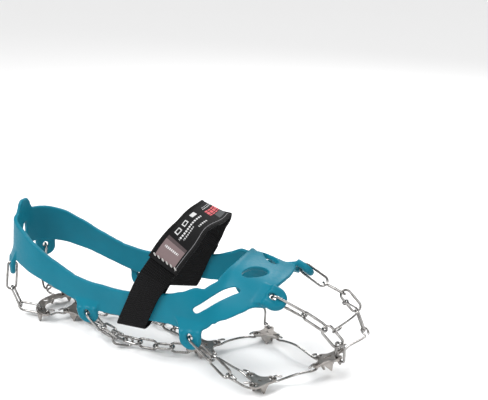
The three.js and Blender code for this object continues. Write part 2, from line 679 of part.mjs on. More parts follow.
// A thin bail over the toe, hooked round a rail of the third link on each side.
{
  const hookOn = (run, inward) => {
    const { a, b } = run.ends[2];
    const axis = run.axes[2];
    const wide = run.wides[2].clone().multiplyScalar(Math.sign(run.wides[2].dot(inward)));
    const rail = a.clone().lerp(b, 0.36).addScaledVector(wide, LINK_HALF_WIDTH);
    return { rail, thick: axis, wide };
  };
  const ends = [hookOn(toe.near, V(0.4, 1, 0.2)), hookOn(toe.far, V(0.4, -1, 0.2))];
  const crown = V(303, 6, 48);
  const eyes = ends.map(({ rail, thick }) => {
    const u = crown.clone().sub(rail).projectOnPlane(thick).normalize();
    return { at: rail.clone().addScaledVector(u, -2.3), thick: thick.clone().cross(u) };
  });
  const span = eyes[0].at.clone().add(eyes[1].at).multiplyScalar(0.5);
  steel('toe_bail', hookedWire(eyes[0], eyes[1], crown.sub(span), BAIL_R));
}

// ---- strap ----
// A flat ribbon through stations {at, wide, up}, raised from them by `lift`.
function ribbon(run, width, lift = 0) {
  return loft(run.map(({ at, wide, up }) => {
    const corner = (a, b) => at.clone().addScaledVector(wide, a * width / 2)
      .addScaledVector(up, lift + b * WEB_T / 2);
    return [corner(-1, -1), corner(1, -1), corner(1, 1), corner(-1, 1)];
  }));
}
// The strap's line over the boot on one side, from the band's lower edge to the instep.
const STRAP_LINE = [[135, 45, 14], [146, 45.5, 38], [153, 45, 54], [160, 43.5, 68], [166.5, 42, 80],
  [172.5, 37, 91], [178, 28, 99.5], [181.5, 15, 104], [183, 0, 105], [181.5, -15, 104]];
const FOLD_SKEW = 0.6;         // low down the webbing runs askew, its fold along the band's edge
const SKEW_OVER = { end: 0.36, run: 0.22 };
const STRAP_STEP = 0.02;
const CLEAR = 0.5;
const PATCH_CLEAR = 0.6;
const ON_BOOT = CLEAR + WEB_T / 2;
const OVER_BAND = BAND_T + CLEAR + WEB_T / 2;
const UNDER_BAND = -1.3 - WEB_T / 2;

function strapPoint(t, sign, offset) {
  const curve = new THREE.CatmullRomCurve3(STRAP_LINE.map((p) => V(p[0], sign * p[1], p[2])));
  const middle = (u) => onBoot(curve.getPoint(Math.min(Math.max(u, 0), 1)));
  const p = middle(t);
  const along = middle(t + 0.02).sub(middle(t - 0.02)).normalize();
  const up = bootNormal(p);
  const skew = FOLD_SKEW * Math.min(1, Math.max(0, (SKEW_OVER.end - t) / SKEW_OVER.run));
  const wide = up.clone().cross(along).normalize().addScaledVector(along, sign * skew);
  return { at: p.addScaledVector(up, offset), along, up, wide };
}
// Stations from t0 to t1 along the strap's line, at an offset that goes from one value to another.
function strapRun(t0, t1, sign, offset) {
  const steps = Math.max(2, Math.round(Math.abs(t1 - t0) / STRAP_STEP));
  const run = [];
  for (let i = 0; i <= steps; i += 1) {
    run.push(strapPoint(t0 + (t1 - t0) * (i / steps), sign, offset(i / steps)));
  }
  return run;
}
// Webbing that comes down outside the band, folds round its lower edge and ends behind it.
function webbing(sign, end) {
  const low = strapPoint(0.05, sign, 0);
  const down = low.along.clone().negate();
  const turn = (OVER_BAND - UNDER_BAND) / 2;
  const mid = (OVER_BAND + UNDER_BAND) / 2;
  const bend = [];
  for (let i = 0; i <= 6; i += 1) {
    const a = Math.PI * (i / 6);
    const up = low.up.clone().multiplyScalar(Math.cos(a)).addScaledVector(down, Math.sin(a));
    const at = low.at.clone().addScaledVector(low.up, mid + turn * Math.cos(a))
      .addScaledVector(down, turn * Math.sin(a) * 0.7);
    bend.push({ at, up, wide: low.wide });
  }
  const blend = (u) => ON_BOOT + (OVER_BAND - ON_BOOT) * u ** 2;
  const outside = [...strapRun(end, 0.42, sign, () => ON_BOOT),
    ...strapRun(0.4, 0.34, sign, blend), ...strapRun(0.3, 0.1, sign, () => OVER_BAND)];
  const inside = [...strapRun(0.1, 0.31, sign, () => UNDER_BAND),
    ...strapRun(0.34, 0.42, sign, (u) => UNDER_BAND + (ON_BOOT - 0.5 - UNDER_BAND) * u)]
    .map(({ at, up, wide }) => ({ at, up: up.negate(), wide }));
  const outer = toManifold(ribbon([...outside, ...bend.slice(0, 4)], WEB_WIDTH));
  const inner = toManifold(ribbon([...bend.slice(3), ...inside], WEB_WIDTH));
  return toGeometry(outer.add(inner));
}
part('strap_near', webbing(-1, 0.82), BLACK, 0.85, 0);
part('strap_far', webbing(1, 0.94), BLACK, 0.85, 0);
part('strap_patch', ribbon(strapRun(0.42, 0.96, -1, () => ON_BOOT), PATCH_WIDTH,
  WEB_T + PATCH_CLEAR), BLACK, 0.7, 0);

const group = new THREE.Group();
group.name = 'ice_cleat';
for (const p of parts) {
  const material = new THREE.MeshStandardMaterial({ color: p.color, roughness: p.roughness,
    metalness: p.metalness });
  p.geometry.translate(-ORIGIN_X, -ORIGIN_Y, SOLE_Z - 1);
  const mesh = new THREE.Mesh(p.geometry, material);
  mesh.name = p.name;
  group.add(mesh);
}

export default group;
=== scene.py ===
# Ice cleat for one boot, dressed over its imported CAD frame. Lengths here are in millimetres and
# "boot" coordinates (x from the heel, z from the tread) until a mesh is made.
import math
import bmesh
import bpy
import numpy as np
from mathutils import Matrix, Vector


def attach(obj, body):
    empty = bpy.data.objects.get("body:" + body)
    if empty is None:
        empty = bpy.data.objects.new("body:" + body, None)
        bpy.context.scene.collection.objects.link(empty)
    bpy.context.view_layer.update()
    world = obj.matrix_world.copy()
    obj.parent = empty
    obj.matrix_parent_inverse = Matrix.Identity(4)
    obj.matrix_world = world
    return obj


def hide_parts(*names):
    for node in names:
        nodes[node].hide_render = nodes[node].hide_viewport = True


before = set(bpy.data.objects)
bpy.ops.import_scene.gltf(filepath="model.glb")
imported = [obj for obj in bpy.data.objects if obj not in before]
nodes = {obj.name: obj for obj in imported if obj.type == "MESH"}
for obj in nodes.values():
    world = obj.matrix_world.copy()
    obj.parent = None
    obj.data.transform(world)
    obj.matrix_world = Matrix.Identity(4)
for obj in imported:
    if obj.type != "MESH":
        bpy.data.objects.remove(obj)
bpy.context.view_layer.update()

ORIGIN = np.array([154.2, -0.9, -9.0])
BAND_T = 3.5
LUG_R = 9.0
LUG_T = 4.0
LUG_STANDOFF = 2.6
EYELET_RISE = 1.5
WIRE_R = 1.0
LINK_HALF_WIDTH = 4.0   # middle of the wire, from the link's axis
PLATE_T = 1.8
HOLE_R = 2.1
EAR_R = 4.0
EAR_SPAN = 1.35         # half the angle that a plate's ear takes up
TOOTH_LENGTH = 9.0
TOOTH_WIDTH = 8.0
WEB_T = 2.0
WEB_WIDTH = 24.0
PATCH_WIDTH = 26.5
RIM_R = 2.35            # raised rim round a lug's lower end
TOE_RIM_R = 2.9
RIM_INSET = 2.1         # from the lug's edge to the middle of its rim
SKIN = 0.3              # the lug's tab is this much thinner per face before smoothing
HEEL_SLOT_Z = 64
HEEL_SLOT_HIGH = 9
HEEL_SLOT_WIDE = 3.2
OVAL_LONG = 12.5
OVAL_SHORT = 6


# ---- materials ----
def material(name):
    m = bpy.data.materials.new(name)
    m.use_nodes = True
    return m, m.node_tree.nodes, m.node_tree.links, m.node_tree.nodes["Principled BSDF"]


def node(tree, kind, **values):
    n = tree.new(kind)
    for key, value in values.items():
        if key in n.inputs:
            n.inputs[key].default_value = value
        else:
            setattr(n, key, value)
    return n


def ramp(tree, links, source, stops):
    r = tree.new("ShaderNodeValToRGB")
    while len(r.color_ramp.elements) < len(stops):
        r.color_ramp.elements.new(0.5)
    for element, (at, colour) in zip(r.color_ramp.elements, stops):
        element.position = at
        element.color = (*colour, 1)
    links.new(source, r.inputs["Fac"])
    return r


def noise(tree, links, scale, detail=4.0, roughness=0.55, stretch=None):
    coords = tree.new("ShaderNodeTexCoord")
    n = node(tree, "ShaderNodeTexNoise", Scale=scale, Detail=detail, Roughness=roughness)
    out = coords.outputs["Object"]
    if stretch:
        mapping = node(tree, "ShaderNodeMapping", Scale=stretch)
        links.new(out, mapping.inputs["Vector"])
        out = mapping.outputs["Vector"]
    links.new(out, n.inputs["Vector"])
    return n


def add_bump(tree, links, bsdf, heights, distance):
    """Bumps laid over each other: heights is a list of (socket, strength)."""
    before = None
    for height, strength in heights:
        b = node(tree, "ShaderNodeBump", Strength=strength, Distance=distance)
        links.new(height, b.inputs["Height"])
        if before:
            links.new(before, b.inputs["Normal"])
        before = b.outputs["Normal"]
    links.new(before, bsdf.inputs["Normal"])


def math_node(tree, links, operation, a, b=None):
    n = node(tree, "ShaderNodeMath", operation=operation)
    for socket, value in zip(n.inputs, (a, b)):
        if value is None:
            continue
        if isinstance(value, (int, float)):
            socket.default_value = value
        else:
            links.new(value, socket)
    return n.outputs[0]


def elastomer():
    m, tree, links, bsdf = material("elastomer_teal")
    broad = noise(tree, links, 26, 3)
    links.new(ramp(tree, links, broad.outputs["Fac"],
                   [(0.3, (0.002, 0.137, 0.200)), (0.7, (0.003, 0.160, 0.230))]).outputs["Color"],
              bsdf.inputs["Base Color"])
    scuff = noise(tree, links, 420, 5, 0.7)
    rough = ramp(tree, links, scuff.outputs["Fac"], [(0.35, (0.36,) * 3), (0.7, (0.56,) * 3)])
    links.new(rough.outputs["Color"], bsdf.inputs["Roughness"])
    fine = noise(tree, links, 2600, 2)
    add_bump(tree, links, bsdf, [(broad.outputs["Fac"], 0.12), (fine.outputs["Fac"], 0.07)], 0.0006)
    bsdf.inputs["Specular IOR Level"].default_value = 0.16
    return m


def metal(name, dark, light, rough, grain, bump):
    m, tree, links, bsdf = material(name)
    bsdf.inputs["Metallic"].default_value = 1
    cloud = noise(tree, links, 90, 5, 0.6)
    links.new(ramp(tree, links, cloud.outputs["Fac"], [(0.32, dark), (0.66, light)]).outputs["Color"],
              bsdf.inputs["Base Color"])
    brush = noise(tree, links, 900, 3, 0.6, grain)
    levels = ramp(tree, links, brush.outputs["Fac"], [(0.3, (rough[0],) * 3), (0.7, (rough[1],) * 3)])
    links.new(levels.outputs["Color"], bsdf.inputs["Roughness"])
    pits = noise(tree, links, 1500, 4, 0.7)
    add_bump(tree, links, bsdf, [(brush.outputs["Fac"], bump), (pits.outputs["Fac"], bump)], 0.0002)
    return m


def uv_parts(tree, links):
    uv = tree.new("ShaderNodeUVMap")
    uv.uv_map = "UVMap"
    split = tree.new("ShaderNodeSeparateXYZ")
    links.new(uv.outputs["UV"], split.inputs[0])
    return uv, split.outputs[0], split.outputs[1]


def webbing_material():
    """Black webbing: v counts millimetres along it, u goes from 0 to 1 across it."""
    m, tree, links, bsdf = material("webbing_black")
    _, u, v = uv_parts(tree, links)
    rib = math_node(tree, links, "SINE", math_node(tree, links, "MULTIPLY", v, 2 * math.pi / 1.9))
    yarn = math_node(tree, links, "SINE", math_node(tree, links, "MULTIPLY", u, 2 * math.pi * 17))
    weave = math_node(tree, links, "ADD", rib, math_node(tree, links, "MULTIPLY", yarn, 0.3))
    fuzz = noise(tree, links, 1800, 3, 0.7)
    shade = math_node(tree, links, "MULTIPLY_ADD", weave, 0.2)
    shade.node.inputs[2].default_value = 0.5
    colour = ramp(tree, links, shade,
                  [(0.2, (0.0012, 0.0012, 0.0013)), (0.85, (0.0072, 0.0072, 0.0078))])
    links.new(colour.outputs["Color"], bsdf.inputs["Base Color"])
    bsdf.inputs["Roughness"].default_value = 0.86
    bsdf.inputs["Specular IOR Level"].default_value = 0.16
    add_bump(tree, links, bsdf, [(weave, 0.9), (fuzz.outputs["Fac"], 0.25)], 0.0005)
    return m


def between(tree, links, value, low, high):
    above = math_node(tree, links, "GREATER_THAN", value, low)
    below = math_node(tree, links, "LESS_THAN", value, high)
    return math_node(tree, links, "MULTIPLY", above, below)


def patch_material():
    """Bound strap end: u across, v in millimetres from its sewn lower edge."""
    m, tree, links, bsdf = material("bound_patch_print")
    _, u, v = uv_parts(tree, links)
    grain = noise(tree, links, 1600, 3, 0.7)
    base = ramp(tree, links, grain.outputs["Fac"],
                [(0.3, (0.0022, 0.0022, 0.0024)), (0.7, (0.006, 0.006, 0.0065))])
    colour = base.outputs["Color"]

    def paint(mask, tone, strength=1.0):
        nonlocal colour
        mix = tree.new("ShaderNodeMix")
        mix.data_type = "RGBA"
        links.new(math_node(tree, links, "MULTIPLY", mask, strength), mix.inputs["Factor"])
        links.new(colour, mix.inputs["A"])
        mix.inputs["B"].default_value = (*tone, 1)
        colour = mix.outputs["Result"]

    def area(u0, u1, v0, v1):
        return math_node(tree, links, "MULTIPLY", between(tree, links, u, u0, u1),
                         between(tree, links, v, v0, v1))

    def broken(mask, pitch, duty, phase=0.0, along=v):
        wave = math_node(tree, links, "FRACT", math_node(
            tree, links, "MULTIPLY_ADD", along, 1 / pitch))
        wave.node.inputs[0].links[0].from_node.inputs[2].default_value = phase
        return math_node(tree, links, "MULTIPLY", mask,
                         math_node(tree, links, "LESS_THAN", wave, duty))

    paint(area(0.14, 0.82, 4.0, 17.5), (0.20, 0.148, 0.150), 0.9)
    paint(area(0.14, 0.82, 17.5, 20.0), (0.09, 0.07, 0.072), 0.8)
    paint(area(0.62, 0.80, 58, 84), (0.10, 0.105, 0.108), 0.7)
    white = (0.66, 0.66, 0.66)
    paint(broken(area(0.24, 0.70, 12.4, 14.0), 0.058, 0.62, 0.2, u), white, 0.85)
    paint(broken(area(0.42, 0.475, 22, 47), 2.1, 0.66), white, 0.85)
    paint(broken(area(0.53, 0.57, 24, 36), 1.7, 0.6, 0.3), white, 0.7)
    paint(broken(area(0.66, 0.71, 38, 46), 1.9, 0.6, 0.3), white, 0.8)
    for low in (23.5, 32):
        paint(area(0.20, 0.33, low, low + 5.4), white, 0.8)
        paint(area(0.225, 0.305, low + 0.9, low + 4.5), (0.004, 0.004, 0.0042))
    paint(area(0.19, 0.32, 42, 46.5), white, 0.8)
    paint(broken(area(0.22, 0.235, 54, 76), 3.2, 0.85), white, 0.6)
    paint(broken(area(0.27, 0.30, 54, 76), 2.2, 0.6, 0.5), white, 0.75)
    blocks = broken(broken(area(0.38, 0.60, 53, 75), 4.4, 0.8), 0.115, 0.82, 0.1, u)
    paint(blocks, (0.60, 0.115, 0.13), 0.92)
    paint(area(0.868, 0.88, 2.0, 100), (0.30, 0.30, 0.31), 0.8)
    links.new(colour, bsdf.inputs["Base Color"])
    bsdf.inputs["Roughness"].default_value = 0.7
    bsdf.inputs["Specular IOR Level"].default_value = 0.16
    rib = math_node(tree, links, "SINE", math_node(tree, links, "MULTIPLY", v, 2 * math.pi / 0.9))
    add_bump(tree, links, bsdf, [(rib, 0.25), (grain.outputs["Fac"], 0.35)], 0.0003)
    return m


def thread_material():
    m, tree, links, bsdf = material("stitch_thread")
    twist = noise(tree, links, 2400, 2, 0.6, (1, 4, 1))
    links.new(ramp(tree, links, twist.outputs["Fac"],
                   [(0.3, (0.30, 0.29, 0.28)), (0.7, (0.55, 0.54, 0.52))]).outputs["Color"],
              bsdf.inputs["Base Color"])
    bsdf.inputs["Roughness"].default_value = 0.75
    add_bump(tree, links, bsdf, [(twist.outputs["Fac"], 0.5)], 0.0002)
    return m


TEAL = elastomer()
PLATE = metal("plate_steel", (0.24, 0.22, 0.205), (0.40, 0.375, 0.355), (0.26, 0.42), (1, 14, 1),
              0.14)
WIRE = metal("wire_steel", (0.17, 0.163, 0.156), (0.42, 0.41, 0.40), (0.08, 0.20), (6, 1, 6), 0.08)
WEBBING = webbing_material()
PATCH = patch_material()
THREAD = thread_material()


# ---- the boot that everything is stretched over ----
def by_station(stations):
    xs = np.array([s[0] for s in stations], float)
    ys = np.array([s[1] for s in stations], float)

    def value(x):
        at = np.clip(x, xs[0], xs[-1])
        i = np.clip(np.searchsorted(xs, at, side="left") - 1, 0, len(xs) - 2)
        u = (at - xs[i]) / (xs[i + 1] - xs[i])
        s = u * u * (3 - 2 * u)
        return ys[i] * (1 - s) + ys[i + 1] * s
    return value


boot_half_width = by_station([(0, 36), (50, 37), (105, 39), (160, 45), (205, 51), (245, 52),
                              (305, 50)])
boot_height = by_station([(0, 300), (90, 210), (150, 142), (180, 107), (215, 75), (245, 69),
                          (270, 64), (305, 54)])


def boot_field(p):
    x, y, z = p[..., 0], p[..., 1], p[..., 2]
    above = np.maximum(0, z - 50)
    half = boot_half_width(x) * (1 - 0.0025 * above * (x < 100))
    f = (np.abs(y) / half) ** 2.6
    f = f + (np.maximum(0, 62 - x) / (58.5 - 0.06 * above)) ** 2.3
    f = f + (np.maximum(0, x - 236) / 70) ** 2.6
    return f + (np.maximum(0, z) / boot_height(x)) ** 2.6 - 1


def boot_gradient(p):
    out = np.zeros_like(p)
    for k in range(3):
        step = np.zeros(3)
        step[k] = 0.05
        out[..., k] = (boot_field(p + step) - boot_field(p - step)) / 0.1
    return out


def unit(v):
    return v / np.maximum(np.linalg.norm(v, axis=-1, keepdims=True), 1e-12)


def boot_normal(p):
    return unit(boot_gradient(p))


def on_boot(p, offset=0.0):
    q = np.array(p, float)
    for _ in range(12):
        g = boot_gradient(q)
        q = q - g * (boot_field(q) / np.maximum((g * g).sum(-1), 1e-8))[..., None]
    return q + boot_normal(q) * offset


def catmull(points, closed=False):
    """A centripetal Catmull-Rom curve through points, as a function of t from 0 to 1."""
    pts = np.array(points, float)
    n = len(pts)

    def at(t):
        s = t * (n if closed else n - 1)
        i = int(math.floor(s))
        w = s - i
        if not closed and i >= n - 1:
            i, w = n - 2, 1.0
        if closed:
            a, b, c, d = (pts[(i + k) % n] for k in (-1, 0, 1, 2))
        else:
            b, c = pts[i], pts[i + 1]
            a = pts[i - 1] if i > 0 else 2 * b - c
            d = pts[i + 2] if i + 2 < n else 2 * c - b
        d0, d1, d2 = (max(np.dot(q - p, q - p) ** 0.25, 1e-4) for p, q in ((a, b), (b, c), (c, d)))
        m1 = ((b - a) / d0 - (c - a) / (d0 + d1) + (c - b) / d1) * d1
        m2 = ((c - b) / d1 - (d - b) / (d1 + d2) + (d - c) / d2) * d1
        return (b + m1 * w + (-3 * b + 3 * c - 2 * m1 - m2) * w * w
                + (2 * b - 2 * c + m1 + m2) * w ** 3)
    return at


# ---- mesh helpers ----
def new_object(name, verts, faces, mat, uvs=None):
    """Boot coordinates in, an object in the row frame out."""
    mesh = bpy.data.meshes.new(name)
    mesh.from_pydata(((np.asarray(verts, float) - ORIGIN) / 1000).tolist(), [], faces)
    if uvs is not None:
        layer = mesh.uv_layers.new(name="UVMap")
        flat = np.array([uvs[l.vertex_index] for l in mesh.loops], np.float32)
        layer.data.foreach_set("uv", flat.ravel())
    obj = bpy.data.objects.new(name, mesh)
    bpy.context.scene.collection.objects.link(obj)
    mesh.materials.append(mat)
    fix = bmesh.new()
    fix.from_mesh(mesh)
    bmesh.ops.recalc_face_normals(fix, faces=fix.faces)
    fix.to_mesh(mesh)
    fix.free()
    for polygon in mesh.polygons:
        polygon.use_smooth = True
    return obj


def loft(rings, closed_rings=True, caps=True, loop=False):
    """Vertices and faces of a skin over rings of the same number of points."""
    rings = [np.asarray(r, float) for r in rings]
    n = len(rings[0])
    faces = []
    count = len(rings)
    for i in range(count if loop else count - 1):
        k = (i + 1) % count
        for j in range(n if closed_rings else n - 1):
            m = (j + 1) % n
            faces.append((i * n + j, i * n + m, k * n + m, k * n + j))
    if caps and not loop:
        faces.append(tuple(range(n))[::-1])
        faces.append(tuple(range((count - 1) * n, count * n)))
    return np.concatenate(rings), faces


def tube(points, radius, sides=14, loop=False, radii=None):
    """A round wire along points, with rotation-minimising sections."""
    pts = np.asarray(points, float)
    n = len(pts)
    if loop:
        tangents = unit(np.roll(pts, -1, 0) - np.roll(pts, 1, 0))
    else:
        tangents = unit(np.gradient(pts, axis=0))
    side = unit(np.cross(tangents[0], [0.31, 0.22, 0.92]))
    rings = []
    for i in range(n):
        side = unit(side - tangents[i] * np.dot(side, tangents[i]))
        other = np.cross(tangents[i], side)
        r = radius if radii is None else radii[i]
        rings.append([pts[i] + r * (math.cos(a) * side + math.sin(a) * other)
                      for a in np.linspace(0, 2 * math.pi, sides, endpoint=False)])
    return loft(rings, loop=loop)


def joined(parts):
    verts, faces, start = [], [], 0
    for v, f in parts:
        verts.append(np.asarray(v, float))
        faces += [tuple(i + start for i in face) for face in f]
        start += len(v)
    return np.concatenate(verts), faces


def apply_modifiers(obj):
    bpy.context.view_layer.update()
    evaluated = obj.evaluated_get(bpy.context.evaluated_depsgraph_get())
    mesh = bpy.data.meshes.new_from_object(evaluated)
    old = obj.data
    obj.modifiers.clear()
    obj.data = mesh
    bpy.data.meshes.remove(old)


def remesh(obj, voxel, rounds, factor=0.5):
    m = obj.modifiers.new("remesh", "REMESH")
    m.mode = "VOXEL"
    m.voxel_size = voxel / 1000
    m.use_smooth_shade = True
    s = obj.modifiers.new("smooth", "SMOOTH")
    s.factor = factor
    s.iterations = rounds
    apply_modifiers(obj)


def finish_piece(obj, body, slot, *cad_nodes):
    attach(obj, body)
    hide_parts(*cad_nodes)


# ---- harness ----
def mirrored(v, side):
    return np.array([v[0], v[1] if side == "near" else -v[1], v[2]], float)


# eyelet on the boot, hanging direction, pull, distance up to the band, half width there
LUGS = {
    "toe": ((249, -31, 62), (0.9, 0.1, -0.45), (0.9, 0.18, -0.42), 17, 9.5),
    "ball": ((194, -53, 29), (0.12, 0, -1), (0.78, 0, -0.6), 19, 19),
    "arch": ((96, -42, 23.5), (0.1, 0, -1), (0.55, 0.25, -0.8), 16, 17),
    "heel": ((8, -24, 43.5), (0, 0, -1), (-0.05, 0, -1), 19, 13),
}


def lug_frame(name, side):
    eye, hang, pull, reach, flare = LUGS[name]
    at = mirrored(on_boot(np.array(eye, float)), side)
    facing = boot_normal(at)
    pull = unit(mirrored(pull, side))
    out = unit(facing - pull * np.dot(facing, pull))
    hang = mirrored(hang, side)
    hang = unit(hang - out * np.dot(hang, out))
    return at + facing * (LUG_STANDOFF + LUG_T / 2), out, hang, reach, flare


def lug_solid(frame_, rim_r):
    """A hanging tab with a round end, a raised U-shaped rim, a rim round its eyelet and a neck
    that widens into the band above."""
    eye, out, hang, reach, flare = frame_
    up = -hang
    across = np.cross(up, out)

    def place(x, y, z):
        return eye + across * x + up * (y - EYELET_RISE) + out * z

    outline = []
    for a in np.linspace(math.pi, 2 * math.pi, 25):
        outline.append((LUG_R * math.cos(a), LUG_R * math.sin(a)))
    outline += [(LUG_R, 3), (-LUG_R, 3)]
    half = LUG_T / 2 - SKIN
    tab = loft([[place(x, y, z) for x, y in outline] for z in (-half, half)])
    # The neck goes from the tab's section to a strip of the band on the boot.
    spread = np.linspace(-1, 1, 11)
    top = on_boot(eye + up * reach)
    top_row = on_boot(top + across * (spread * flare)[:, None])
    top_out = boot_normal(top_row)
    low_row = place(0, 1.5, 0) + across * (spread * LUG_R)[:, None]
    rings = []
    for s in np.linspace(0, 1, 13):
        ease = s * s * (3 - 2 * s)
        wide = s ** 2.2
        row = low_row + (low_row - place(0, 1.5, 0)) * ((flare / LUG_R - 1) * wide)
        base = row + up * (reach - 1) * s
        target = top_row - (top_row - top) * (1 - (LUG_R + (flare - LUG_R) * wide) / flare)
        target = target - up * (reach - 1) * (1 - s)
        centre = base * (1 - ease) + target * ease
        outer = centre + out * half * (1 - ease) + top_out * (BAND_T - 0.25) * ease
        inner = centre - out * half * (1 - ease) + top_out * 0.25 * ease
        rings.append(np.concatenate([outer[::-1], inner]))
    neck = loft(rings)
    rim = [place((LUG_R - RIM_INSET) * math.cos(a), (LUG_R - RIM_INSET) * math.sin(a), 0.35)
           for a in np.linspace(math.pi, 2 * math.pi, 31)]
    rim = [place(RIM_INSET - LUG_R, 6, -0.3)] + rim + [place(LUG_R - RIM_INSET, 6, -0.3)]
    ring = [place(3.9 * math.cos(a), EYELET_RISE + 4.6 * math.sin(a), half - 0.3)
            for a in np.linspace(0, 2 * math.pi, 36, endpoint=False)]
    return [tab, neck, tube(rim, rim_r, 14), tube(ring, 0.9, 10, loop=True)]


def band_strip(stations, along, across, thickness=BAND_T):
    line = catmull([s[:3] for s in stations])
    widths = by_station([(i / (len(stations) - 1), s[3]) for i, s in enumerate(stations)])

    def middle(t):
        return on_boot(line(min(max(t, 0), 1)))
    rings = []
    for i in range(along + 1):
        t = i / along
        c = middle(t)
        tangent = unit(middle(t + 0.01) - middle(t - 0.01))
        side = unit(np.cross(boot_normal(c), tangent))
        spread = widths(t) * (np.arange(across + 1) / across - 0.5)
        row = on_boot(c + side * spread[:, None])
        outer = row + boot_normal(row) * thickness
        rings.append(np.concatenate([outer[::-1], row]))
    return loft(rings)


def prism(points, depth=34.0, samples=48):
    pts = np.array(points, float)
    centre = pts.mean(0)
    out = boot_normal(on_boot(centre))
    u = pts[0] - centre
    u = unit(u - out * np.dot(u, out))
    v = np.cross(out, u)
    flat = [(np.dot(p - centre, u), np.dot(p - centre, v), 0) for p in pts]
    curve = catmull(flat, closed=True)
    outline = [curve(i / samples) for i in range(samples)]
    return loft([[centre + u * q[0] + v * q[1] + out * z for q in outline]
                 for z in (-depth / 2, depth / 2)])


HEEL_WRAP = [(78, -39, 43, 20), (56, -37, 50, 23), (36, -35, 57.5, 27), (20, -31, 63.5, 31),
             (9, -20, 66, 33), (3, 0, 67, 33), (9, 20, 66, 33), (20, 31, 63.5, 31),
             (36, 35, 57.5, 27), (56, 37, 50, 23), (78, 39, 43, 20)]
SIDE_BAND = [(58, 38, 49, 22), (75, 39, 43, 20.5), (92, 40, 39, 22), (110, 41, 37, 23.5),
             (128, 43, 38, 22), (150, 46, 41, 21.5), (170, 48, 44, 24), (184, 49, 46.5, 28),
             (198, 50, 51, 32), (210, 48, 56, 24)]
TOE_WEB = [(203, -50, 48, 22), (212, -46, 59, 29), (221, -38, 67, 35), (227, -26, 71, 38),
           (230.5, -13, 73, 40), (231.5, 0, 74, 41), (230.5, 13, 73, 40), (227, 26, 71, 38),
           (221, 38, 67, 35), (212, 46, 59, 29), (203, 50, 48, 22)]
TOE_ARM = [(230, 38, 65, 20), (239, 35, 66, 17), (247, 32.5, 63.5, 15)]
HEEL_TAB = [(4, 0, 74, 28), (5.5, 0, 82, 20), (7, 0, 89, 14), (8, 0, 93.5, 8)]
SLOT = [(194, 50.7, 50.6), (200.5, 48.3, 56.2), (207.5, 44.6, 62), (214.5, 40, 67),
        (222, 36, 68.7), (226, 36.5, 66.5), (220.5, 40.5, 63.6), (211.5, 45.2, 58.2),
        (202.6, 49.4, 51.4), (197, 51, 48.2)]


def oval_points(sign):
    turn = math.radians(-58)
    points = []
    for i in range(10):
        a = i / 10 * 2 * math.pi
        u, v = OVAL_LONG * math.cos(a), OVAL_SHORT * math.sin(a)
        x = 230 + u * math.cos(turn) - v * math.sin(turn)
        y = 17 + u * math.sin(turn) + v * math.cos(turn)
        points.append(on_boot(np.array([x, sign * y, 78.0])))
    return points


def build_harness():
    solids = [band_strip(HEEL_WRAP, 110, 10), band_strip(TOE_WEB, 110, 18),
              band_strip(HEEL_TAB, 16, 10)]
    cutters = []
    for side, sign in (("near", -1), ("far", 1)):
        solids.append(band_strip([(s[0], sign * s[1], s[2], s[3]) for s in SIDE_BAND], 90, 10))
        solids.append(band_strip([(s[0], sign * s[1], s[2], s[3]) for s in TOE_ARM], 16, 8))
        cutters.append(prism([(s[0], sign * s[1], s[2]) for s in SLOT]))
        cutters.append(prism(oval_points(sign)))
        for name in LUGS:
            f = lug_frame(name, side)
            solids += lug_solid(f, TOE_RIM_R if name == "toe" else RIM_R)
            eye, out, hang = f[:3]
            across = np.cross(-hang, out)
            hole = [[eye + across * 2.5 * math.cos(a) - hang * 3.1 * math.sin(a) + out * z
                     for a in np.linspace(0, 2 * math.pi, 28, endpoint=False)] for z in (-7, 7)]
            cutters.append(loft(hole))
    cutters.append(prism([(0, HEEL_SLOT_WIDE * math.cos(a), HEEL_SLOT_Z + HEEL_SLOT_HIGH * math.sin(a))
                          for a in np.linspace(0, 2 * math.pi, 10, endpoint=False)]))
    body = new_object("harness_moulding", *joined(solids), TEAL)
    remesh(body, 0.62, 10)
    cutter = new_object("harness_cutter", *joined(cutters), TEAL)
    cut = body.modifiers.new("cut", "BOOLEAN")
    cut.operation = "DIFFERENCE"
    cut.solver = "EXACT"
    cut.object = cutter
    apply_modifiers(body)
    bpy.data.objects.remove(cutter)
    remesh(body, 0.5, 5)
    finish_piece(body, "harness", "elastomer", "harness")
    return body


# ---- plates ----
def square(radius, turn):
    return [(radius * math.cos(math.radians(turn + 90 * i)),
             radius * math.sin(math.radians(turn + 90 * i))) for i in range(4)]


PLATES = {
    "plate_toe": ((285, 2), square(11.2, -32), 3, 6.6),
    "plate_ball_near": ((247, -43), [(-1, -7.6), (6.6, 7), (-8.8, 4.6)], 1.3, 4.6),
    "plate_ball_far": ((224, 33), [(7.8, -2), (-1.6, 8), (-6.4, -5.2)], 1.3, 4.2),
    "plate_mid": ((186, -12), square(11.4, -38), 3, 6.6),
    "plate_heel": ((58.5, -1), square(10.4, -47), 3, 8.6),
}
TOE_SPRING_FROM = 257
TOE_SPRING = 0.0095


def plate_frame(at):
    ahead = max(0, at[0] - TOE_SPRING_FROM)
    slope = math.atan(2 * TOE_SPRING * ahead)
    forward = np.array([math.cos(slope), 0, math.sin(slope)])
    up = np.array([-math.sin(slope), 0, math.cos(slope)])
    return np.array([at[0], at[1], TOE_SPRING * ahead ** 2]) - up * PLATE_T / 2, forward, up


def arc(x, y, r, a0, a1, steps):
    return [(x + r * math.cos(a), y + r * math.sin(a)) for a in np.linspace(a0, a1, steps)]


